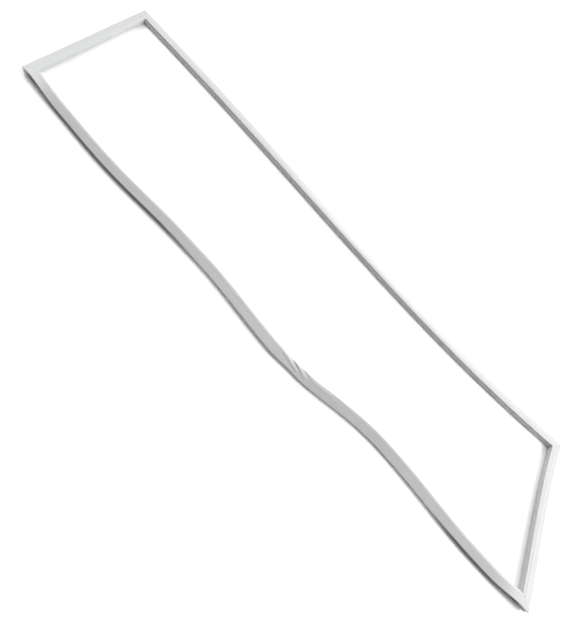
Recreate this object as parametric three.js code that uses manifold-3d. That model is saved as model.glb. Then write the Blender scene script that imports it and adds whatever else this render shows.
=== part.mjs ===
// Magnetic door gasket for a tall, narrow refrigerator door, lying face up as it came out of its packing.
//
// One soft hollow profile, cut in four lengths and welded at mitred corners into a closed loop, with a
// flexible magnetic strip in the sleeve of each length. Three sides lie on the tip of their dart. The left
// side has tipped over onto the edge of its flange, runs in waves and is buckled near its middle.
//
// Millimetres, +Z up, +Y towards the top side of the door. The origin is under the middle of the loop.

import * as THREE from 'three';
import { mergeVertices } from 'three/addons/utils/BufferGeometryUtils.js';
import Module from 'manifold-3d';

const wasm = await Module();
wasm.setup();

// Loop, measured along the outer edge of the sealing face
const longSide = 1608;
const shortSide = 430;
const leanAngle = THREE.MathUtils.degToRad( 10.3 ); // how far the slack loop lies out of square

// Sealing face, which slopes down outwards over the magnet sleeve
const faceWidth = 18;
const faceSlope = THREE.MathUtils.degToRad( 7 );
const sleeveWall = 0.9;
const lipRound = 0.8;

// Bead along the inner edge of the sealing face
const beadWidth = 7;
const beadThickness = 3.8;
const beadGroove = 0.7;
const beadDroop = 1.1;

// Bellows between the sleeve and the flange
const bellowsHeight = 8;
const bellowsWall = 1;
const footReach = 9.4;
const kneeReach = 10.6;
const waistReach = 7;
const waistDepth = 1;

// Flange and the dart that is pressed into the door's groove
const flangeWidth = 22.6;
const flangeThickness = 1.7;
const flangeRound = 0.4;
const dartHeight = 5.6;
const dartStem = 3.2;
const dartBarb = 8.6;
const dartBarbHeight = 2.6;
const dartShoulder = 0.5;
const dartTip = 2.8;

// Magnetic strips
const magnetWidth = 11;
const magnetThickness = 2.8;
const magnetClearance = 0.4;
const magnetEndGap = 22;

// Vents, punched through the flange and on through the floor of the sleeve
const ventRadius = 1.4;
const ventFromCorner = 120;
const ventSides = 8;

// Bows of the bottom and right sides, each with its greatest inward reach at a share of the side
const bottomBow = { reach: 6, at: 0.667, sharpness: 3 };
const rightBow = { reach: 31, at: 0.3, sharpness: 3.8 };

// Waves of the left side, from the top corner down: reach is outwards, away from the loop's middle
const upperWave = { reach: 9, at: 0.187, halfShare: 0.148 };
const middleWave = { reach: 18.5, at: 0.546, halfShare: 0.176 };
const lowerWave = { reach: - 18.3, at: 0.713, halfShare: 0.195 };

// How far the left side is rolled outwards, in degrees, from the top corner to the bottom corner
const leftRolls = [
	{ at: 0, degrees: 0 },
	{ at: 0.08, degrees: 30 },
	{ at: 0.33, degrees: 30 },
	{ at: 0.5, degrees: 24 },
	{ at: 0.55, degrees: 26 },
	{ at: 0.61, degrees: 40 },
	{ at: 0.7, degrees: 38 },
	{ at: 0.82, degrees: 31 },
	{ at: 0.93, degrees: 30 },
	{ at: 1, degrees: 0 },
];

// Squash of the left side: how far the outer bellows wall bulges out, as a share of bulgeReach
const bulgeReach = 4.5;
const leftBulges = [
	{ at: 0, amount: 0 },
	{ at: 0.33, amount: 0 },
	{ at: 0.44, amount: 1 },
	{ at: 0.72, amount: 1 },
	{ at: 0.86, amount: 0 },
	{ at: 1, amount: 0 },
];

// Buckle of the left side, where the profile is pinched and creased
const buckleAt = 0.56;
const buckleHalfShare = 0.03;
const bucklePinch = 0.12;

// Steps of the sweep along each side
const topSteps = 8;
const bottomSteps = 12;
const rightSteps = 22;
const leftSteps = 60;

// Rotates a point of the tilted sleeve into the section: out is along the face, down is into the sleeve
const faceStart = - ( faceWidth + beadWidth ) / 2 + beadWidth;
const flangeTop = dartHeight + flangeThickness;
const sleeveDepth = magnetThickness + 2 * ( magnetClearance + sleeveWall );
const faceTop = flangeTop + bellowsHeight + sleeveDepth;

function onSleeve( out, down ) {

	const x = faceStart + out * Math.cos( faceSlope ) - down * Math.sin( faceSlope );
	const y = faceTop - out * Math.sin( faceSlope ) - down * Math.cos( faceSlope );
	return new THREE.Vector2( x, y );

}

// Height of the sleeve's underside at a distance across the section
function undersideAt( x ) {

	const corner = onSleeve( 0, sleeveDepth );
	return corner.y - ( x - corner.x ) * Math.tan( faceSlope );

}

// Outline of the profile, anticlockwise, with x outwards across the section and y up
function profileOutline() {

	const knee = flangeTop + bellowsHeight * 0.35;
	const edge = flangeWidth / 2;
	const beadIn = faceStart - beadWidth;
	const dartSide = ( side ) => [
		[ side * dartTip / 2, 0 ],
		[ side * dartBarb / 2, dartBarbHeight ],
		[ side * dartStem / 2, dartBarbHeight + dartShoulder ],
		[ side * dartStem / 2, dartHeight ],
	];
	const flangeEdge = ( side ) => [
		[ side * ( edge - flangeRound ), dartHeight ],
		[ side * edge, dartHeight + flangeThickness / 2 ],
		[ side * ( edge - flangeRound ), flangeTop ],
	];
	const bellowsSide = ( side ) => [
		[ side * footReach, flangeTop + flangeRound / 4 ],
		[ side * kneeReach, knee ],
		[ side * waistReach, undersideAt( side * waistReach ) - waistDepth ],
	];
	const lip = [
		onSleeve( faceWidth - 2 * lipRound, sleeveDepth ),
		onSleeve( faceWidth - lipRound / 2, sleeveDepth - lipRound ),
		onSleeve( faceWidth, sleeveDepth / 2 ),
		onSleeve( faceWidth - lipRound / 4, lipRound ),
		onSleeve( faceWidth - lipRound, 0 ),
	];
	const bead = [
		[ faceStart, faceTop ],
		[ faceStart - beadGroove / 2, faceTop - beadGroove ],
		[ faceStart - beadGroove * 2, faceTop ],
		[ beadIn + beadThickness / 2, faceTop - beadDroop * 0.7 ],
		[ beadIn + beadThickness / 6, faceTop - beadDroop ],
		[ beadIn, faceTop - beadThickness * 0.6 ],
		[ beadIn + beadThickness / 4, faceTop - beadThickness * 0.9 ],
		[ beadIn + beadThickness, faceTop - beadThickness * 1.13 ],
	];
	const points = [
		...dartSide( 1 ), ...flangeEdge( 1 ), ...bellowsSide( 1 ),
		...lip, ...bead,
		...bellowsSide( - 1 ).reverse(), ...flangeEdge( - 1 ).reverse(), ...dartSide( - 1 ).reverse(),
	];
	return points.map( ( point ) => ( point.isVector2 ? point : new THREE.Vector2( ...point ) ) );

}

// Outline of the air chamber inside the bellows
function chamberOutline() {

	const side = ( sign ) => [
		[ sign * ( footReach - bellowsWall ), flangeTop ],
		[ sign * ( kneeReach - bellowsWall * 1.1 ), flangeTop + bellowsHeight * 0.35 ],
		[ sign * ( waistReach - bellowsWall * 1.1 ), undersideAt( sign * waistReach ) - waistDepth ],
		[ sign * ( waistReach - bellowsWall ), undersideAt( sign * ( waistReach - bellowsWall ) ) ],
	];
	const points = [ ...side( 1 ), ...side( - 1 ).reverse() ];
	return points.map( ( point ) => new THREE.Vector2( ...point ) );

}

// A rectangle in the sleeve, grown on every side of the magnetic strip
function stripOutline( grow ) {

	const middle = faceWidth / 2;
	const inner = middle - magnetWidth / 2 - grow;
	const outer = middle + magnetWidth / 2 + grow;
	const upper = sleeveWall + magnetClearance - grow;
	const lower = upper + magnetThickness + 2 * grow;
	return [ onSleeve( outer, lower ), onSleeve( outer, upper ), onSleeve( inner, upper ), onSleeve( inner, lower ) ];

}

// Shapes along the sides: shares run from 0 to 1 in the direction of travel round the loop
function bow( share, { reach, at, sharpness } ) {

	const rise = ( share / at ) ** ( sharpness * at );
	const fall = ( ( 1 - share ) / ( 1 - at ) ) ** ( sharpness * ( 1 - at ) );
	return - reach * rise * fall;

}

function bell( share, at, halfShare ) {

	const distance = Math.min( Math.abs( share - at ) / halfShare, 1 );
	return ( 1 + Math.cos( Math.PI * distance ) ) / 2;

}

function leftOffset( share ) {

	const waves = [ upperWave, middleWave, lowerWave ];
	return waves.reduce( ( sum, wave ) => sum + wave.reach * bell( share, wave.at, wave.halfShare ), 0 );

}

function leftPinch( share ) {

	return bucklePinch * bell( share, buckleAt, buckleHalfShare );

}

// A value that eases from knot to knot along a side
function eased( knots, key, share ) {

	const next = Math.max( knots.findIndex( ( knot ) => knot.at >= share ), 1 );
	const from = knots[ next - 1 ];
	const to = knots[ next ];
	return THREE.MathUtils.lerp( from[ key ], to[ key ], THREE.MathUtils.smoothstep( share, from.at, to.at ) );

}

function leftRoll( share ) {

	return THREE.MathUtils.degToRad( eased( leftRolls, 'degrees', share ) );

}

function leftBulge( share ) {

	return bulgeReach * eased( leftBulges, 'amount', share );

}

// Corners of the sealing face's outer edge, taken anticlockwise from the top left one
const halfWide = shortSide * Math.cos( leanAngle ) / 2;
const halfLean = shortSide * Math.sin( leanAngle ) / 2;
const corners = [
	new THREE.Vector2( - halfWide, longSide / 2 - halfLean ),
	new THREE.Vector2( - halfWide, - longSide / 2 - halfLean ),
	new THREE.Vector2( halfWide, - longSide / 2 + halfLean ),
	new THREE.Vector2( halfWide, longSide / 2 + halfLean ),
];
const none = () => 0;
const level = { offset: none, roll: none, bulge: none, pinch: none };
const sides = [
	{ name: 'left', steps: leftSteps, offset: leftOffset, roll: leftRoll, bulge: leftBulge, pinch: leftPinch },
	{ name: 'bottom', steps: bottomSteps, offset: ( share ) => bow( share, bottomBow ) },
	{ name: 'right', steps: rightSteps, offset: ( share ) => bow( share, rightBow ) },
	{ name: 'top', steps: topSteps },
].map( ( side ) => ( { ...level, ...side } ) );

// Edge of the sealing face at a share of one side, and the direction that points out of the loop there
sides.forEach( ( side, index ) => {

	const start = corners[ index ];
	const end = corners[ ( index + 1 ) % corners.length ];
	const along = end.clone().sub( start );
	const outward = new THREE.Vector2( along.y, - along.x ).normalize();
	side.length = along.length();
	side.edge = ( share ) => start.clone().lerp( end, share ).addScaledVector( outward, side.offset( share ) );
	side.normal = ( share ) => {

		const nudge = 0.002;
		const before = side.edge( Math.max( share - nudge, 0 ) );
		const tangent = side.edge( Math.min( share + nudge, 1 ) ).sub( before ).normalize();
		return new THREE.Vector2( tangent.y, - tangent.x );

	};

} );

// Turns a section point about the middle of the dart's tip and sets the turned section down on z = 0
const outline = profileOutline();
const outerReach = ( faceWidth + beadWidth ) / 2;

function rolled( point, roll ) {

	return point.clone().rotateAround( new THREE.Vector2( 0, 0 ), - roll );

}

// Moves a point of the bellows outwards, most of all halfway up the outer wall
function bulged( point, bulge ) {

	const height = ( point.y - flangeTop ) / ( undersideAt( point.x ) - flangeTop );
	if ( height <= 0 || height >= 1 || point.x <= 0 ) return point;
	const across = Math.min( point.x / waistReach, 1 );
	return new THREE.Vector2( point.x + bulge * across * Math.sin( Math.PI * height ), point.y );

}

function station( side, share, normal ) {

	const edge = side.edge( share );
	const roll = side.roll( share );
	const bulge = side.bulge( share );
	const pinch = side.pinch( share );
	const lowest = Math.min( ...outline.map( ( point ) => rolled( point, roll ).y ) );
	return ( point ) => {

		const turned = rolled( bulged( point, bulge ), roll );
		const across = turned.x * ( 1 - pinch ) - outerReach;
		const up = ( turned.y - lowest ) * ( 1 - pinch / 2 );
		return new THREE.Vector3( edge.x + normal.x * across, edge.y + normal.y * across, up );

	};

}

// Stations round the loop: a mitre at each corner, square sections in between
sides.forEach( ( side, index ) => {

	const previous = sides[ ( index + sides.length - 1 ) % sides.length ];
	side.stations = [];
	for ( let step = 0; step < side.steps; step ++ ) {

		const share = step / side.steps;
		const normal = side.normal( share );
		if ( step === 0 ) {

			const other = previous.normal( 1 );
			normal.add( other ).divideScalar( 1 + side.normal( 0 ).dot( other ) );

		}

		side.stations.push( { share, place: station( side, share, normal ) } );

	}

} );
const ring = sides.flatMap( ( side ) => side.stations );

// A point of the section anywhere along a side, between its two nearest stations
function placeAt( side, share, point ) {

	const index = sides.indexOf( side );
	const next = sides[ ( index + 1 ) % sides.length ];
	const position = THREE.MathUtils.clamp( share, 0, 1 ) * side.steps;
	const first = Math.min( Math.floor( position ), side.steps - 1 );
	const second = first + 1 < side.steps ? side.stations[ first + 1 ] : next.stations[ 0 ];
	return side.stations[ first ].place( point ).lerp( second.place( point ), position - first );

}

function positionsOnly( geometry ) {

	geometry.deleteAttribute( 'normal' );
	geometry.deleteAttribute( 'uv' );
	return mergeVertices( geometry, 1e-4 );

}

// A closed outline swept round the whole loop: a turned ring whose vertices are moved to the stations
function sweptRing( section ) {

	const turnRadius = 100;
	const points = section.map( ( point ) => new THREE.Vector2( point.x + turnRadius, point.y ) );
	points.push( points[ 0 ].clone() );
	const geometry = new THREE.LatheGeometry( points, ring.length );
	const position = geometry.attributes.position;
	for ( let index = 0; index < position.count; index ++ ) {

		const turn = Math.floor( index / points.length ) % ring.length;
		const place = ring[ turn ].place( section[ ( index % points.length ) % section.length ] );
		position.setXYZ( index, place.x, place.y, place.z );

	}

	return positionsOnly( geometry );

}

// A four-sided section swept along one side only, from one share to another
function sweptStrip( side, section, from, to ) {

	const shares = side.stations.map( ( { share } ) => share ).filter( ( share ) => share > from && share < to );
	const rings = [ from, ...shares, to ];
	const geometry = new THREE.BoxGeometry( 2, 2, rings.length - 1, 1, 1, rings.length - 1 );
	const position = geometry.attributes.position;
	for ( let index = 0; index < position.count; index ++ ) {

		const high = position.getY( index ) > 0;
		const outer = position.getX( index ) > 0;
		const point = outer ? section[ high ? 1 : 0 ] : section[ high ? 2 : 3 ];
		const step = Math.round( ( rings.length - 1 ) / 2 - position.getZ( index ) );
		const place = placeAt( side, rings[ step ], point );
		position.setXYZ( index, place.x, place.y, place.z );

	}

	return positionsOnly( geometry );

}

// A round punch, upright in the section, from under the flange into the sleeve
function ventPunch( side, share ) {

	const across = ( dartStem / 2 + waistReach - bellowsWall ) / 2;
	const low = dartHeight - flangeThickness / 2;
	const high = undersideAt( across ) + sleeveWall + magnetClearance / 2;
	const geometry = new THREE.CylinderGeometry( ventRadius, ventRadius, high - low, ventSides );
	geometry.translate( across, ( high + low ) / 2, 0 );
	const position = geometry.attributes.position;
	for ( let index = 0; index < position.count; index ++ ) {

		const point = new THREE.Vector2( position.getX( index ), position.getY( index ) );
		const place = placeAt( side, share - position.getZ( index ) / side.length, point );
		position.setXYZ( index, place.x, place.y, place.z );

	}

	return positionsOnly( geometry );

}

function toSolid( geometry ) {

	const mesh = new wasm.Mesh( {
		numProp: 3,
		vertProperties: new Float32Array( geometry.attributes.position.array ),
		triVerts: new Uint32Array( geometry.index.array ),
	} );
	return new wasm.Manifold( mesh );

}

function toGeometry( solid ) {

	const mesh = solid.getMesh();
	const geometry = new THREE.BufferGeometry();
	geometry.setAttribute( 'position', new THREE.BufferAttribute( new Float32Array( mesh.vertProperties ), 3 ) );
	geometry.setIndex( new THREE.BufferAttribute( new Uint32Array( mesh.triVerts ), 1 ) );
	return geometry;

}

// The magnetic strip of one side: the ring in the sleeve, kept between two square ends
function magnetStrip( side ) {

	const end = magnetEndGap / side.length;
	const span = toSolid( sweptStrip( side, stripOutline( 2 * magnetClearance ), end, 1 - end ) );
	return toGeometry( toSolid( sweptRing( stripOutline( 0 ) ) ).intersect( span ) );

}

function gasketProfile() {

	let solid = toSolid( sweptRing( outline ) );
	solid = solid.subtract( toSolid( sweptRing( chamberOutline() ) ) );
	solid = solid.subtract( toSolid( sweptRing( stripOutline( magnetClearance ) ) ) );
	for ( const side of sides ) {

		const share = ventFromCorner / side.length;
		solid = solid.subtract( toSolid( ventPunch( side, share ) ) );
		solid = solid.subtract( toSolid( ventPunch( side, 1 - share ) ) );

	}

	return toGeometry( solid );

}

const vinyl = new THREE.MeshStandardMaterial( { name: 'vinyl', color: 0xe3e4e0, roughness: 0.45, metalness: 0 } );
const magnet = new THREE.MeshStandardMaterial( { name: 'magnet', color: 0x3a3330, roughness: 0.7, metalness: 0 } );

const gasket = new THREE.Group();

function addMesh( name, geometry, material ) {

	geometry.computeVertexNormals();
	const mesh = new THREE.Mesh( geometry, material );
	mesh.name = name;
	gasket.add( mesh );
	return mesh;

}

addMesh( 'gasket_profile', gasketProfile(), vinyl );
for ( const side of sides ) addMesh( `magnet_strip_${ side.name }`, magnetStrip( side ), magnet );

// Brings the middle of the loop's box over the origin
const middle = new THREE.Box3().setFromObject( gasket ).getCenter( new THREE.Vector3() );
for ( const mesh of gasket.children ) mesh.position.set( - middle.x, - middle.y, 0 );

export default gasket;
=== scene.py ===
"""Magnetic refrigerator door gasket: a soft vinyl loop lying slack on a white floor.

The skin follows the same section and the same run of the loop as the CAD part, with many more
steps: mitred welds at the corners, waves, rolls and a buckle on the left side. It adds folds at
the buckle and a flash along each weld. Lengths are in millimetres until a mesh is made, and metres
after that.
"""

import math

import bmesh
import bpy
import numpy as np
from mathutils import Matrix, Vector
from mathutils.kdtree import KDTree


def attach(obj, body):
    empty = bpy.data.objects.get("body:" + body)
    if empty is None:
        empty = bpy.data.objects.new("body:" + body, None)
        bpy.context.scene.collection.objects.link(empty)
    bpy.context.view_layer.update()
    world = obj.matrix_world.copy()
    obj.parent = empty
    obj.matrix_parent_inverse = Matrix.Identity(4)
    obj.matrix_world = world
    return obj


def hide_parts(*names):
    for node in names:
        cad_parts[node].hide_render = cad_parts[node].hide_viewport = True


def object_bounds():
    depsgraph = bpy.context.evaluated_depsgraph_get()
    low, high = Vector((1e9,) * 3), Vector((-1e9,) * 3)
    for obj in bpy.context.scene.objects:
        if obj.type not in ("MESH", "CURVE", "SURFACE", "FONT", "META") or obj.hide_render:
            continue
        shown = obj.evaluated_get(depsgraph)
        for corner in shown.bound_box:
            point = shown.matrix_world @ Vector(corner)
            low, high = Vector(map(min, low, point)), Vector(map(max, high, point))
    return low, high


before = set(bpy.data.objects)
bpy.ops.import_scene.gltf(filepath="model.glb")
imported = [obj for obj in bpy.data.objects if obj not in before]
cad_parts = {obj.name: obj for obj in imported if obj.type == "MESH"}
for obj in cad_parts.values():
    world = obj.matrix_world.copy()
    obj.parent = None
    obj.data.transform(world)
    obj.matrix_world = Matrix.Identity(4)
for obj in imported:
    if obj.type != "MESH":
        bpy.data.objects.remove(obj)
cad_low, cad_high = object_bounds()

# Loop
LONG_SIDE = 1608
SHORT_SIDE = 430
LEAN = math.radians(10.3)

# Section: sealing face and sleeve
FACE_WIDTH = 18
FACE_SLOPE = math.radians(7)
SLEEVE_WALL = 0.9
LIP_ROUND = 0.8
BEAD_WIDTH = 7
BEAD_THICKNESS = 3.8
BEAD_GROOVE = 0.7
BEAD_DROOP = 1.1

# Section: bellows, flange and dart
BELLOWS_HEIGHT = 8
BELLOWS_WALL = 1
KNEE_SHARE = 0.35
FOOT_REACH = 9.4
KNEE_REACH = 10.6
WAIST_REACH = 7
WAIST_DEPTH = 1
FLANGE_WIDTH = 22.6
FLANGE_THICKNESS = 1.7
FLANGE_ROUND = 0.4
DART_HEIGHT = 5.6
DART_STEM = 3.2
DART_BARB = 8.6
DART_BARB_HEIGHT = 2.6
DART_SHOULDER = 0.5
DART_TIP = 2.8

# Magnetic strips and vents
MAGNET_WIDTH = 11
MAGNET_THICKNESS = 2.8
MAGNET_CLEARANCE = 0.4
MAGNET_END_GAP = 22
VENT_RADIUS = 1.4
VENT_FROM_CORNER = 120
VENT_SIDES = 20

# Run of the loop. A bow is its reach, where it is deepest and how sharp it is; a wave is where it
# stands, half its share of the side and its reach; a roll is a share of the side and its degrees;
# a bulge is a share of the side and its reach
BOTTOM_BOW = (6, 0.667, 3)
RIGHT_BOW = (31, 0.3, 3.8)
LEFT_WAVES = ((0.187, 0.148, 9), (0.546, 0.176, 18.5), (0.713, 0.195, -18.3))
LEFT_ROLLS = (
    (0, 0),
    (0.08, 30),
    (0.33, 30),
    (0.5, 24),
    (0.55, 26),
    (0.61, 40),
    (0.7, 38),
    (0.82, 31),
    (0.93, 30),
    (1, 0),
)
LEFT_BULGES = ((0, 0), (0.33, 0), (0.44, 4.5), (0.72, 4.5), (0.86, 0), (1, 0))
BUCKLE_AT = 0.56
BUCKLE_HALF = 0.03
BUCKLE_PINCH = 0.12

# Folds at the buckle: start and end as (along from the buckle, out from the face's inner edge),
# then half their width and how far they rise. After them, the shares of the left side between
# which its rings stand closer for the folds, and how many rings stand there
FOLDS = (
    ((-30, -3), (18, 8), 5, 1.7),
    ((-12, -7), (18, 2), 4.5, -2.1),
    ((4, -6), (38, 5), 5, 1.4),
    ((14, -8), (46, 0), 4, -1.4),
    ((56, -8), (140, -1), 5, -0.9),
)
FOLD_RINGS = (0.535, 0.66, 90)

# Steps of the skin along each side, the CAD part's own steps, which set how long the sheared run
# next to each mitre is, the curve's steps between two points of the outline, and the steps across
# the sealing face
STEPS = {"left": 300, "bottom": 80, "right": 260, "top": 80}
CAD_STEPS = {"left": 60, "bottom": 12, "right": 22, "top": 8}
CURVE_STEPS = 3
FACE_STEPS = 12

# Weld flash along each mitre
WELD_HALF = 0.7
WELD_HEIGHT = 0.25

FACE_START = -(FACE_WIDTH + BEAD_WIDTH) / 2 + BEAD_WIDTH
FLANGE_TOP = DART_HEIGHT + FLANGE_THICKNESS
SLEEVE_DEPTH = MAGNET_THICKNESS + 2 * (MAGNET_CLEARANCE + SLEEVE_WALL)
FACE_TOP = FLANGE_TOP + BELLOWS_HEIGHT + SLEEVE_DEPTH
OUTER_REACH = (FACE_WIDTH + BEAD_WIDTH) / 2


def on_sleeve(out, down):
    """A point of the sloping sleeve: out along the face, down into the sleeve."""
    x = FACE_START + out * math.cos(FACE_SLOPE) - down * math.sin(FACE_SLOPE)
    y = FACE_TOP - out * math.sin(FACE_SLOPE) - down * math.cos(FACE_SLOPE)
    return (x, y)


def underside_at(x):
    """Height of the sleeve's underside."""
    corner = on_sleeve(0, SLEEVE_DEPTH)
    return corner[1] - (x - corner[0]) * math.tan(FACE_SLOPE)


def curved(points):
    """A smooth line through points, its ends kept."""
    given = [np.array(p, float) for p in points]
    given = [2 * given[0] - given[1], *given, 2 * given[-1] - given[-2]]
    made = []
    for a, b, c, d in zip(given, given[1:], given[2:], given[3:]):
        second = 2 * a - 5 * b + 4 * c - d
        third = 3 * b - a - 3 * c + d
        for step in range(CURVE_STEPS):
            t = step / CURVE_STEPS
            made.append(0.5 * (2 * b + (c - a) * t + second * t**2 + third * t**3))
    return [*made, given[-2]]


def straight(start, end, pieces):
    """Points on a straight run, its last one left out."""
    a, b = np.array(start, float), np.array(end, float)
    return [a + (b - a) * k / pieces for k in range(pieces)]


def coarse_outline():
    """The CAD part's outline, which says how low a rolled section reaches."""
    edge = FLANGE_WIDTH / 2
    points = []
    for side in (1, -1):
        points += [(side * DART_TIP / 2, 0), (side * DART_BARB / 2, DART_BARB_HEIGHT)]
        points += [(side * (edge - FLANGE_ROUND), DART_HEIGHT)]
        points += [(side * edge, DART_HEIGHT + FLANGE_THICKNESS / 2)]
        points += [(side * (edge - FLANGE_ROUND), FLANGE_TOP)]
    return np.array(points)


def fine_outline():
    """Outline of the profile, anticlockwise, x outwards across the section and y up."""
    edge = FLANGE_WIDTH / 2
    knee = FLANGE_TOP + BELLOWS_HEIGHT * KNEE_SHARE
    bead_in = FACE_START - BEAD_WIDTH

    def dart(side):
        return [
            (side * DART_TIP / 2, 0),
            (side * DART_BARB / 2, DART_BARB_HEIGHT),
            (side * DART_STEM / 2, DART_BARB_HEIGHT + DART_SHOULDER),
            (side * DART_STEM / 2, DART_HEIGHT),
        ]

    def flange(side):
        inner = [(side * (edge * 0.55), DART_HEIGHT)]
        tip = [
            (side * (edge - FLANGE_ROUND), DART_HEIGHT),
            (side * (edge - FLANGE_ROUND * 0.2), DART_HEIGHT + FLANGE_THICKNESS * 0.22),
            (side * edge, DART_HEIGHT + FLANGE_THICKNESS / 2),
            (side * (edge - FLANGE_ROUND * 0.2), DART_HEIGHT + FLANGE_THICKNESS * 0.78),
            (side * (edge - FLANGE_ROUND), FLANGE_TOP),
        ]
        return inner + tip

    def bellows(side):
        under = underside_at(side * WAIST_REACH)
        shin_reach = FOOT_REACH + (KNEE_REACH - FOOT_REACH) * 0.75
        thigh_reach = WAIST_REACH + (KNEE_REACH - WAIST_REACH) * 0.35
        return curved([
            (side * FOOT_REACH, FLANGE_TOP + FLANGE_ROUND / 4),
            (side * shin_reach, FLANGE_TOP + BELLOWS_HEIGHT * 0.15),
            (side * KNEE_REACH, knee),
            (side * thigh_reach, (knee + under) / 2),
            (side * WAIST_REACH, under - WAIST_DEPTH),
        ])

    lip = curved([
        on_sleeve(FACE_WIDTH - 2 * LIP_ROUND, SLEEVE_DEPTH),
        on_sleeve(FACE_WIDTH - LIP_ROUND / 2, SLEEVE_DEPTH - LIP_ROUND),
        on_sleeve(FACE_WIDTH, SLEEVE_DEPTH / 2),
        on_sleeve(FACE_WIDTH - LIP_ROUND / 4, LIP_ROUND),
        on_sleeve(FACE_WIDTH - LIP_ROUND, 0),
    ])
    face = straight(on_sleeve(FACE_WIDTH - LIP_ROUND, 0), (FACE_START, FACE_TOP), FACE_STEPS)[1:]
    bead = curved([
        (FACE_START, FACE_TOP),
        (FACE_START - BEAD_GROOVE / 2, FACE_TOP - BEAD_GROOVE),
        (FACE_START - BEAD_GROOVE * 2, FACE_TOP),
        (bead_in + BEAD_THICKNESS / 2, FACE_TOP - BEAD_DROOP * 0.7),
        (bead_in + BEAD_THICKNESS / 6, FACE_TOP - BEAD_DROOP),
        (bead_in, FACE_TOP - BEAD_THICKNESS * 0.6),
        (bead_in + BEAD_THICKNESS / 4, FACE_TOP - BEAD_THICKNESS * 0.9),
        (bead_in + BEAD_THICKNESS, FACE_TOP - BEAD_THICKNESS * 1.13),
    ])
    outer = [*dart(1), *flange(1), *bellows(1)]
    inner = [*dart(-1), *flange(-1), *bellows(-1)]
    points = [*outer, *lip, *face, *bead, *inner[::-1]]
    return np.array([np.array(p, float) for p in points])


def chamber_outline():
    """Outline of the air chamber inside the bellows."""

    def side(sign):
        return [
            (sign * (FOOT_REACH - BELLOWS_WALL), FLANGE_TOP),
            (sign * (KNEE_REACH - BELLOWS_WALL * 1.1), FLANGE_TOP + BELLOWS_HEIGHT * KNEE_SHARE),
            (sign * (WAIST_REACH - BELLOWS_WALL * 1.1), underside_at(sign * WAIST_REACH) - WAIST_DEPTH),
            (sign * (WAIST_REACH - BELLOWS_WALL), underside_at(sign * (WAIST_REACH - BELLOWS_WALL))),
        ]

    return np.array([*side(1), *side(-1)[::-1]])


def strip_outline(grow):
    """A rectangle in the sleeve, grown on every side of the magnetic strip."""
    middle = FACE_WIDTH / 2
    inner = middle - MAGNET_WIDTH / 2 - grow
    outer = middle + MAGNET_WIDTH / 2 + grow
    upper = SLEEVE_WALL + MAGNET_CLEARANCE - grow
    lower = upper + MAGNET_THICKNESS + 2 * grow
    corners = [(outer, lower), (outer, upper), (inner, upper), (inner, lower)]
    return np.array([on_sleeve(*corner) for corner in corners])


def bow(share, shape):
    """How far a bowed side stands outwards; a bow leans inwards, so it is negative."""
    reach, at, sharpness = shape
    return -reach * (share / at) ** (sharpness * at) * ((1 - share) / (1 - at)) ** (sharpness * (1 - at))


def bell(share, at, half):
    """One at its middle, easing to nothing at half its width on both sides."""
    return (1 + math.cos(math.pi * min(abs(share - at) / half, 1))) / 2


def left_offset(share):
    """How far the wavy side stands outwards."""
    return sum(outward * bell(share, at, half) for at, half, outward in LEFT_WAVES)


def eased(knots, share):
    """A value that eases from knot to knot along a side."""
    for (at0, low), (at1, high) in zip(knots, knots[1:]):
        if share <= at1:
            t = (share - at0) / (at1 - at0)
            return low + (high - low) * t * t * (3 - 2 * t)
    return knots[-1][1]


def left_roll(share):
    return math.radians(eased(LEFT_ROLLS, share))


def bulged(points, bulge):
    """Moves the points of the bellows outwards, most of all halfway up the outer wall."""
    moved = points.copy()
    for point in moved:
        height = (point[1] - FLANGE_TOP) / (underside_at(point[0]) - FLANGE_TOP)
        if 0 < height < 1 and point[0] > 0:
            point[0] += bulge * min(point[0] / WAIST_REACH, 1) * math.sin(math.pi * height)
    return moved


def carried(points):
    """How far each point follows the sealing face: nothing at the flange, fully at the sleeve."""
    height = [(y - FLANGE_TOP) / (underside_at(x) - FLANGE_TOP) for x, y in points]
    height = np.clip(height, 0, 1)
    return height * height * (3 - 2 * height)


def folded(points, along):
    """Raises and sinks the face where the buckle's folds cross this station."""
    moved = points.copy()
    rise = np.zeros(len(points))
    for start, end, half, height in FOLDS:
        run = np.subtract(end, start)
        for k, point in enumerate(points):
            here = np.array([along, point[0] - FACE_START])
            share = np.clip((here - start).dot(run) / run.dot(run), 0, 1)
            rise[k] += height * bell(float(np.linalg.norm(here - start - share * run)), 0, half)
    moved[:, 1] += rise * carried(points)
    return moved


# Share of a side over which its direction is taken
NUDGE = 0.002

HALF_WIDE = SHORT_SIDE * math.cos(LEAN) / 2
HALF_LEAN = SHORT_SIDE * math.sin(LEAN) / 2
CORNERS = [
    np.array([-HALF_WIDE, LONG_SIDE / 2 - HALF_LEAN]),
    np.array([-HALF_WIDE, -LONG_SIDE / 2 - HALF_LEAN]),
    np.array([HALF_WIDE, -LONG_SIDE / 2 + HALF_LEAN]),
    np.array([HALF_WIDE, LONG_SIDE / 2 + HALF_LEAN]),
]


class Side:
    """One length of the profile: where its sealing face's outer edge runs and how it is rolled."""

    def __init__(self, name, start, end, offset, roll):
        self.name = name
        self.start = start
        self.end = end
        self.offset = offset
        self.roll = roll
        along = end - start
        self.length = float(np.linalg.norm(along))
        self.outward = np.array([along[1], -along[0]]) / self.length

    def edge(self, share):
        return self.start + (self.end - self.start) * share + self.outward * self.offset(share)

    def normal(self, share):
        tangent = self.edge(min(share + NUDGE, 1)) - self.edge(max(share - NUDGE, 0))
        tangent /= np.linalg.norm(tangent)
        return np.array([tangent[1], -tangent[0]])


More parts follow.
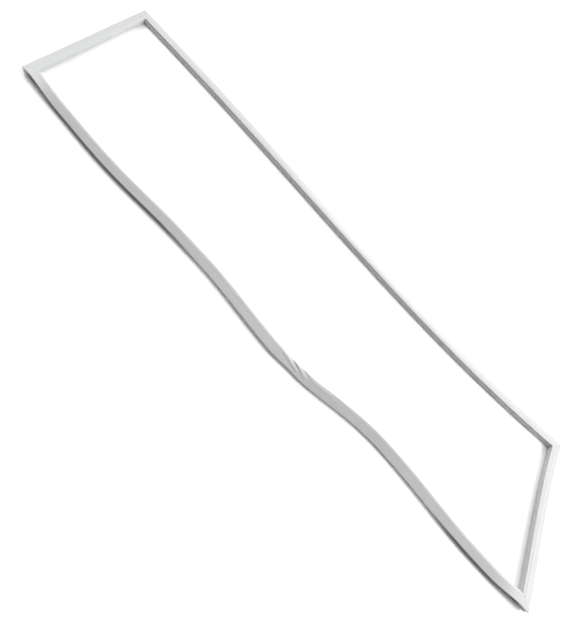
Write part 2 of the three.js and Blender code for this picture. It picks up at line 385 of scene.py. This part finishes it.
SIDES = [
    Side("left", CORNERS[0], CORNERS[1], left_offset, left_roll),
    Side("bottom", CORNERS[1], CORNERS[2], lambda s: bow(s, BOTTOM_BOW), lambda s: 0.0),
    Side("right", CORNERS[2], CORNERS[3], lambda s: bow(s, RIGHT_BOW), lambda s: 0.0),
    Side("top", CORNERS[3], CORNERS[0], lambda s: 0.0, lambda s: 0.0),
]
LOWEST_OF = coarse_outline()


def turned(points, roll):
    """The section's points rolled outwards."""
    cos, sin = math.cos(-roll), math.sin(-roll)
    across = points[:, 0] * cos - points[:, 1] * sin
    up = points[:, 0] * sin + points[:, 1] * cos
    return np.column_stack([across, up])


def section_at(side, share, normal, points):
    """The section's points at one station, in the loop's own place."""
    roll = side.roll(share)
    pinch = 0
    if side.name == "left":
        pinch = BUCKLE_PINCH * bell(share, BUCKLE_AT, BUCKLE_HALF)
        points = bulged(points, eased(LEFT_BULGES, share))
        if FOLD_RINGS[0] < share < FOLD_RINGS[1]:
            points = folded(points, (share - BUCKLE_AT) * side.length)
    lowest = turned(LOWEST_OF, roll)[:, 1].min()
    flat = turned(points, roll)
    across = flat[:, 0] * (1 - pinch) - OUTER_REACH
    up = (flat[:, 1] - lowest) * (1 - pinch / 2)
    edge = side.edge(share)
    return np.column_stack([edge[0] + normal[0] * across, edge[1] + normal[1] * across, up])


def mitre_normal(index):
    """The stretched normal at the start of a side, where it meets the side before."""
    here, before = SIDES[index].normal(0), SIDES[index - 1].normal(1)
    return (here + before) / (1 + here.dot(before))


def place(index, share, points):
    """The section anywhere on a side, sheared towards the mitres near its two ends."""
    side = SIDES[index]
    first = 1 / CAD_STEPS[side.name]
    share = min(max(share, 0.0), 1.0)
    flash = WELD_HEIGHT * bell(min(share, 1 - share) * side.length, 0, WELD_HALF) * carried(points)
    placed = run_of_side(index, share, points, first)
    placed[:, 2] += flash
    return placed


def run_of_side(index, share, points, first):
    """The section on a side without its welds; first is the share of one sheared run."""
    side = SIDES[index]
    if share < first:
        start = section_at(side, 0, mitre_normal(index), points)
        inner = section_at(side, first, side.normal(first), points)
        return start + (inner - start) * (share / first)
    if share > 1 - first:
        after = (index + 1) % len(SIDES)
        inner = section_at(side, 1 - first, side.normal(1 - first), points)
        end = section_at(SIDES[after], 0, mitre_normal(after), points)
        return inner + (end - inner) * ((share - (1 - first)) / first)
    return section_at(side, share, side.normal(share), points)


def shares_of(side):
    """Where the rings of one side stand: close together at the welds, even in between."""
    near = [0, WELD_HALF * 0.5, WELD_HALF, WELD_HALF * 2, 4, 8]
    near = [d / side.length for d in near]
    even = [k / STEPS[side.name] for k in range(1, STEPS[side.name])]
    even = [s for s in even if near[-1] * 1.3 < s < 1 - near[-1] * 1.3]
    if side.name == "left":
        low, high, count = FOLD_RINGS
        even = [s for s in even if not low <= s <= high] + np.linspace(low, high, count).tolist()
        even.sort()
    return near + even + [1 - d for d in near[:0:-1]]


RINGS = [(index, share) for index, side in enumerate(SIDES) for share in shares_of(side)]
all_points = np.vstack([place(index, share, fine_outline()) for index, share in RINGS])


def middle_of_cad():
    """The shift that brings the loop's own place into the frame of the CAD part."""
    cad_middle = (np.array(cad_high)[:2] + np.array(cad_low)[:2]) * 1000 / 2
    return cad_middle - (all_points.max(0)[:2] + all_points.min(0)[:2]) / 2


SHIFT = np.append(middle_of_cad(), 0)


def swept_ring(points, inside_out=False):
    """Vertices and faces of a section swept round the whole loop."""
    rows = [place(index, share, points) + SHIFT for index, share in RINGS]
    count, around = len(rows), len(points)
    faces = []
    for i in range(count):
        here, after = i * around, ((i + 1) % count) * around
        for j in range(around):
            beside = (j + 1) % around
            quad = [here + j, after + j, after + beside, here + beside]
            faces.append(quad if inside_out else quad[::-1])
    return np.vstack(rows) / 1000, faces


def swept_strip(index, points, start, end):
    """Vertices and faces of a section swept along part of one side, closed at both ends."""
    side = SIDES[index]
    shares = [start, *[s for s in shares_of(side) if start < s < end], end]
    rows = [place(index, share, points) + SHIFT for share in shares]
    around = len(points)
    faces = [list(range(around)), [(len(rows) - 1) * around + j for j in range(around)][::-1]]
    for i in range(len(rows) - 1):
        here, after = i * around, (i + 1) * around
        for j in range(around):
            beside = (j + 1) % around
            faces.append([here + j, here + beside, after + beside, after + j])
    return np.vstack(rows) / 1000, faces


def make_mesh(name, verts, faces):
    """A new object from vertices in metres and faces."""
    mesh = bpy.data.meshes.new(name)
    mesh.from_pydata(verts.tolist(), [], faces)
    mesh.validate()
    piece = bpy.data.objects.new(name, mesh)
    bpy.context.scene.collection.objects.link(piece)
    return piece


def outward_faces(piece):
    """Turns the faces of each closed shell outwards."""
    bm = bmesh.new()
    bm.from_mesh(piece.data)
    bmesh.ops.recalc_face_normals(bm, faces=bm.faces)
    bm.to_mesh(piece.data)
    bm.free()


def joined(parts):
    """Several lists of vertices and faces as one."""
    verts, faces = [], []
    for part_verts, part_faces in parts:
        start = sum(len(v) for v in verts)
        verts.append(part_verts)
        faces += [[start + k for k in face] for face in part_faces]
    return np.vstack(verts), faces


# Skin of the profile, with the chamber and the sleeve hollow inside it
outline = fine_outline()
skin_verts, skin_faces = swept_ring(outline)
parts = [
    (skin_verts, skin_faces),
    swept_ring(chamber_outline(), inside_out=True),
    swept_ring(strip_outline(MAGNET_CLEARANCE), inside_out=True),
]
profile = make_mesh("vinyl_profile", *joined(parts))
outward_faces(profile)


def cut_with(piece, cutter):
    """Takes a cutter out of a piece and removes the cutter."""
    cut = piece.modifiers.new("cut", "BOOLEAN")
    cut.operation = "DIFFERENCE"
    cut.solver = "EXACT"
    cut.object = cutter
    depsgraph = bpy.context.evaluated_depsgraph_get()
    mesh = bpy.data.meshes.new_from_object(piece.evaluated_get(depsgraph))
    piece.modifiers.clear()
    piece.data = mesh
    bpy.data.objects.remove(cutter)


def vent_punch(index, share):
    """A round punch, upright in the section, from under the flange into the sleeve."""
    across = (DART_STEM / 2 + WAIST_REACH - BELLOWS_WALL) / 2
    low = DART_HEIGHT - FLANGE_THICKNESS / 2
    high = underside_at(across) + SLEEVE_WALL + MAGNET_CLEARANCE / 2
    verts, faces = [], []
    for k in range(VENT_SIDES):
        angle = 2 * math.pi * k / VENT_SIDES
        x = across + VENT_RADIUS * math.cos(angle)
        here = share + VENT_RADIUS * math.sin(angle) / SIDES[index].length
        verts.append(place(index, here, np.array([[x, low], [x, high]])) + SHIFT)
    for k in range(VENT_SIDES):
        after = (k + 1) % VENT_SIDES
        faces.append([2 * k, 2 * after, 2 * after + 1, 2 * k + 1])
    faces += [[2 * k for k in range(VENT_SIDES)][::-1], [2 * k + 1 for k in range(VENT_SIDES)]]
    return np.vstack(verts) / 1000, faces


punches = []
for index, side in enumerate(SIDES):
    share = VENT_FROM_CORNER / side.length
    punches += [vent_punch(index, share), vent_punch(index, 1 - share)]
punch = make_mesh("punch", *joined(punches))
outward_faces(punch)
cut_with(profile, punch)


def run_lengths():
    """How far each ring stands along the loop, in metres."""
    starts = np.cumsum([0, *[side.length for side in SIDES]])
    return np.array([(starts[index] + share * SIDES[index].length) / 1000 for index, share in RINGS])


def girth_lengths():
    """How far each outline point stands round the section, in metres."""
    steps = np.linalg.norm(np.diff(outline, axis=0), axis=1)
    return np.concatenate([[0], np.cumsum(steps)]) / 1000


def write_skin_map(piece):
    """Stores on each vertex how far along the loop and how far round the section it is."""
    along = np.repeat(run_lengths(), len(outline))
    girth = np.tile(girth_lengths(), len(RINGS))
    tree = KDTree(len(skin_verts))
    for k, vert in enumerate(skin_verts):
        tree.insert(vert, k)
    tree.balance()
    found = [tree.find(v.co)[1] for v in piece.data.vertices]
    skin = np.column_stack([along[found], girth[found], np.zeros(len(found))])
    attribute = piece.data.attributes.new("skin", "FLOAT_VECTOR", "POINT")
    attribute.data.foreach_set("vector", skin.astype(np.float32).ravel())


SHARP_ANGLE = math.radians(40)

write_skin_map(profile)
profile.data.polygons.foreach_set("use_smooth", [True] * len(profile.data.polygons))
profile.data.set_sharp_from_angle(angle=SHARP_ANGLE)
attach(profile, "root")
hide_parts("gasket_profile")

strips = []
for index, side in enumerate(SIDES):
    end = MAGNET_END_GAP / side.length
    strip = make_mesh(f"strip_{side.name}", *swept_strip(index, strip_outline(0), end, 1 - end))
    outward_faces(strip)
    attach(strip, "root")
    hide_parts(f"magnet_strip_{side.name}")
    strips.append(strip)


class Nodes:
    """A small helper for building one node material."""

    def __init__(self, name):
        self.material = bpy.data.materials.new(name)
        self.material.use_nodes = True
        self.tree = self.material.node_tree
        self.tree.nodes.clear()

    def add(self, kind, **settings):
        node = self.tree.nodes.new(kind)
        for key, value in settings.items():
            setattr(node, key, value)
        return node

    def link(self, source, target):
        self.tree.links.new(source, target)

    def noise(self, vector, scale, detail=2, roughness=0.5):
        node = self.add("ShaderNodeTexNoise")
        node.inputs["Scale"].default_value = scale
        node.inputs["Detail"].default_value = detail
        node.inputs["Roughness"].default_value = roughness
        if vector is not None:
            self.link(vector, node.inputs["Vector"])
        return node.outputs["Fac"]

    def scaled(self, vector, factors):
        node = self.add("ShaderNodeVectorMath", operation="MULTIPLY")
        node.inputs[1].default_value = factors
        self.link(vector, node.inputs[0])
        return node.outputs["Vector"]

    def ranged(self, value, low, high, to_low, to_high):
        node = self.add("ShaderNodeMapRange")
        for key, number in (("From Min", low), ("From Max", high), ("To Min", to_low), ("To Max", to_high)):
            node.inputs[key].default_value = number
        self.link(value, node.inputs["Value"])
        return node.outputs["Result"]

    def mixed(self, factor, first, second):
        """Two colours mixed by a factor; each is a socket or a plain colour."""
        node = self.add("ShaderNodeMix", data_type="RGBA")
        self.link(factor, node.inputs["Factor"])
        for socket, colour in ((node.inputs[6], first), (node.inputs[7], second)):
            if isinstance(colour, tuple):
                socket.default_value = (*colour, 1)
            else:
                self.link(colour, socket)
        return node.outputs[2]

    def bump(self, height, strength, distance, normal=None):
        node = self.add("ShaderNodeBump")
        node.inputs["Strength"].default_value = strength
        node.inputs["Distance"].default_value = distance
        self.link(height, node.inputs["Height"])
        if normal is not None:
            self.link(normal, node.inputs["Normal"])
        return node.outputs["Normal"]


VINYL_LIGHT = (0.852, 0.859, 0.868)
VINYL_SHADE = (0.80, 0.807, 0.817)
VINYL_WORN = (0.76, 0.765, 0.774)

# Painted shade: a dark line along the outer edge of the left side's lip, where the gap under the lip
# is in shade. In the photo it is most likely the shade in the gap under the lip. The lights leave
# that shade too pale, so it is painted on the vinyl as a near-black colour, and it shows from behind
# as well. Its runs along the loop in metres, and the points of the outline between which it lies,
# each with an eased edge at both ends
LIP_SHADE_COLOUR = (0.05, 0.05, 0.053)
LIP_SHADE_RUNS = ((0.0, 0.03, 0.48, 0.6), (1.32, 1.4, 1.575, 1.605))
LIP_SHADE_POINTS = (9, 12, 35, 37)


def band(n, value, edges):
    """One between the two inner edges, easing to nothing at the two outer ones."""
    rising = n.ranged(value, edges[0], edges[1], 0, 1)
    falling = n.ranged(value, edges[2], edges[3], 1, 0)
    both = n.add("ShaderNodeMath", operation="MULTIPLY")
    n.link(rising, both.inputs[0])
    n.link(falling, both.inputs[1])
    return both.outputs[0]


def lip_shade_mask(n, skin):
    """Where the painted shade along the outer edge of the lip lies."""
    parts = n.add("ShaderNodeSeparateXYZ")
    n.link(skin, parts.inputs[0])
    girths = girth_lengths()
    around = band(n, parts.outputs["Y"], [float(girths[k]) for k in LIP_SHADE_POINTS])
    runs = n.add("ShaderNodeMath", operation="ADD")
    for socket, run in zip(runs.inputs, LIP_SHADE_RUNS):
        n.link(band(n, parts.outputs["X"], run), socket)
    both = n.add("ShaderNodeMath", operation="MULTIPLY", use_clamp=True)
    n.link(around, both.inputs[0])
    n.link(runs.outputs[0], both.inputs[1])
    return both.outputs[0]


def vinyl_material():
    """Satin off-white vinyl: faint streaks along the extrusion, a soft mottle, painted shade along the lip.
    """
    n = Nodes("vinyl")
    skin = n.add("ShaderNodeAttribute", attribute_name="skin").outputs["Vector"]
    place_in_row = n.add("ShaderNodeTexCoord").outputs["Object"]
    streaks = n.noise(n.scaled(skin, (2.2, 520, 0)), 1, 3, 0.6)
    mottle = n.noise(place_in_row, 28, 3, 0.55)
    colour = n.mixed(n.ranged(streaks, 0.36, 0.64, 0, 1), VINYL_LIGHT, VINYL_SHADE)
    colour = n.mixed(n.ranged(mottle, 0.5, 0.8, 0, 0.5), colour, VINYL_WORN)
    # Painted shade: the near-black line under the left side's lip is mixed into the vinyl's colour
    colour = n.mixed(lip_shade_mask(n, skin), colour, LIP_SHADE_COLOUR)
    shader = n.add("ShaderNodeBsdfPrincipled")
    n.link(colour, shader.inputs["Base Color"])
    n.link(n.ranged(mottle, 0.3, 0.7, 0.4, 0.52), shader.inputs["Roughness"])
    shader.inputs["IOR"].default_value = 1.5
    ribs = n.bump(streaks, 0.12, 0.0004)
    n.link(n.bump(n.noise(place_in_row, 60, 2), 0.12, 0.002, ribs), shader.inputs["Normal"])
    out = n.add("ShaderNodeOutputMaterial")
    n.link(shader.outputs["BSDF"], out.inputs["Surface"])
    return n.material


def magnet_material():
    """Dark brown rubber-bonded ferrite with a fine grain."""
    n = Nodes("magnet")
    place_in_row = n.add("ShaderNodeTexCoord").outputs["Object"]
    grain = n.noise(place_in_row, 900, 3, 0.6)
    patches = n.noise(place_in_row, 30, 2)
    colour = n.mixed(n.ranged(grain, 0.35, 0.65, 0, 1), (0.038, 0.030, 0.027), (0.062, 0.050, 0.044))
    shader = n.add("ShaderNodeBsdfPrincipled")
    n.link(colour, shader.inputs["Base Color"])
    n.link(n.ranged(patches, 0.3, 0.7, 0.6, 0.78), shader.inputs["Roughness"])
    n.link(n.bump(grain, 0.2, 0.0003), shader.inputs["Normal"])
    out = n.add("ShaderNodeOutputMaterial")
    n.link(shader.outputs["BSDF"], out.inputs["Surface"])
    return n.material


FLOOR_LOW = (0.87, 0.87, 0.87)
FLOOR_HIGH = (0.89, 0.89, 0.89)
FLOOR_FADE = (2.4, 1.05, 0)


def floor_material():
    """White floor that keeps its shadows, brighter to rays that see it, and plain white far out."""
    n = Nodes("floor")
    place_in_row = n.add("ShaderNodeTexCoord").outputs["Object"]
    grain = n.noise(place_in_row, 3, 2)
    colour = n.mixed(grain, FLOOR_LOW, FLOOR_HIGH)
    path = n.add("ShaderNodeLightPath")
    first = n.add("ShaderNodeMath", operation="ADD")
    n.link(path.outputs["Is Camera Ray"], first.inputs[0])
    n.link(path.outputs["Is Glossy Ray"], first.inputs[1])
    seen = n.add("ShaderNodeMath", operation="ADD", use_clamp=True)
    n.link(first.outputs[0], seen.inputs[0])
    n.link(path.outputs["Is Transmission Ray"], seen.inputs[1])
    brighter = n.ranged(seen.outputs[0], 0, 1, 1, FLOOR_SEEN)
    lifted = n.add("ShaderNodeVectorMath", operation="SCALE")
    n.link(colour, lifted.inputs[0])
    n.link(brighter, lifted.inputs["Scale"])
    diffuse = n.add("ShaderNodeBsdfDiffuse")
    n.link(lifted.outputs["Vector"], diffuse.inputs["Color"])
    spread = n.add("ShaderNodeVectorMath", operation="LENGTH")
    n.link(n.scaled(place_in_row, FLOOR_FADE), spread.inputs[0])
    far = n.add("ShaderNodeMath", operation="MULTIPLY")
    n.link(n.ranged(spread.outputs["Value"], 1, 1.5, 0, 1), far.inputs[0])
    n.link(seen.outputs[0], far.inputs[1])
    glow = n.add("ShaderNodeEmission")
    n.link(far.outputs[0], glow.inputs["Strength"])
    both = n.add("ShaderNodeAddShader")
    n.link(diffuse.outputs[0], both.inputs[0])
    n.link(glow.outputs[0], both.inputs[1])
    out = n.add("ShaderNodeOutputMaterial")
    n.link(both.outputs[0], out.inputs["Surface"])
    return n.material


# How much brighter the floor is to rays that see it, and half the floor's width in metres
FLOOR_SEEN = 1.6
FLOOR_HALF = 12

# Light: the world near the horizon and overhead, the rise between them, and the lamps' places,
# sizes and powers
WORLD_LOW = 0.03
WORLD_STRENGTH = 0.62
DOME_RISE = (0.55, 0.85)
LAMPS = (
    ("right", (2.2, -0.2, 1.2), (1.6, 1.2), 26),
    ("bottom", (0.35, -2.2, 1.9), (1.4, 1.4), 38),
    ("top", (0.15, 2.2, 1.9), (1.4, 1.4), 24),
)

profile.data.materials.clear()
profile.data.materials.append(vinyl_material())
magnet = magnet_material()
for strip in strips:
    strip.data.materials.append(magnet)

floor_corners = [(x * FLOOR_HALF, y * FLOOR_HALF, 0) for x, y in ((-1, -1), (1, -1), (1, 1), (-1, 1))]
floor = make_mesh("floor", np.array(floor_corners, float), [[0, 1, 2, 3]])
floor.data.materials.append(floor_material())


def world_light(low, strength):
    """Soft white light from a dome overhead, weak near the horizon; seen directly it is white."""
    world = bpy.data.worlds.new("studio")
    bpy.context.scene.world = world
    world.use_nodes = True
    tree = world.node_tree
    tree.nodes.clear()
    path = tree.nodes.new("ShaderNodeLightPath")
    direction = tree.nodes.new("ShaderNodeTexCoord")
    parts = tree.nodes.new("ShaderNodeSeparateXYZ")
    dome = tree.nodes.new("ShaderNodeMapRange")
    for key, number in zip(("From Min", "From Max", "To Min", "To Max"), (*DOME_RISE, low, strength)):
        dome.inputs[key].default_value = number
    dim = tree.nodes.new("ShaderNodeBackground")
    dim.inputs["Color"].default_value = (1, 1, 1, 1)
    tree.links.new(direction.outputs["Generated"], parts.inputs[0])
    tree.links.new(parts.outputs["Z"], dome.inputs["Value"])
    tree.links.new(dome.outputs["Result"], dim.inputs["Strength"])
    white = tree.nodes.new("ShaderNodeBackground")
    white.inputs["Color"].default_value = (1, 1, 1, 1)
    white.inputs["Strength"].default_value = 1
    mix = tree.nodes.new("ShaderNodeMixShader")
    out = tree.nodes.new("ShaderNodeOutputWorld")
    tree.links.new(path.outputs["Is Camera Ray"], mix.inputs[0])
    tree.links.new(dim.outputs[0], mix.inputs[1])
    tree.links.new(white.outputs[0], mix.inputs[2])
    tree.links.new(mix.outputs[0], out.inputs["Surface"])


def area_lamp(name, location, target, size, power):
    """A rectangular lamp that faces its target."""
    data = bpy.data.lights.new(name, "AREA")
    data.shape = "RECTANGLE"
    data.size, data.size_y = size
    data.energy = power
    lamp = bpy.data.objects.new(name, data)
    lamp.location = location
    lamp.rotation_mode = "QUATERNION"
    lamp.rotation_quaternion = (Vector(target) - Vector(location)).to_track_quat("-Z", "Y")
    bpy.context.scene.collection.objects.link(lamp)
    return lamp


world_light(WORLD_LOW, WORLD_STRENGTH)
for name, location, size, power in LAMPS:
    area_lamp(name, location, (0, 0, 0), size, power)

# Camera, fitted to the photo; its place is in millimetres, in the loop's own place
FOCAL_PIXELS = 500
FRAME_LONG_SIDE = 619
SENSOR_WIDTH = 36
CAMERA_PLACE = (-797.35, -97.48, 923.0)
camera_data = bpy.data.cameras.new("camera")
camera_data.sensor_fit = "AUTO"
camera_data.sensor_width = SENSOR_WIDTH
camera_data.lens = SENSOR_WIDTH * FOCAL_PIXELS / FRAME_LONG_SIDE
camera_data.clip_start, camera_data.clip_end = 0.01, 100
camera = bpy.data.objects.new("camera", camera_data)
bpy.context.scene.collection.objects.link(camera)
camera_right = Vector((0.6161, -0.6806, 0.3965))
camera_up = Vector((0.5275, 0.7304, 0.4339))
camera_back = Vector((-0.5849, -0.0582, 0.8090))
turn = Matrix((camera_right, camera_up, camera_back)).transposed().to_4x4()
camera_place = Vector(CAMERA_PLACE) + Vector(SHIFT.tolist())
camera.matrix_world = Matrix.Translation(camera_place / 1000) @ turn
bpy.context.scene.camera = camera
bpy.context.scene.view_settings.view_transform = "Standard"
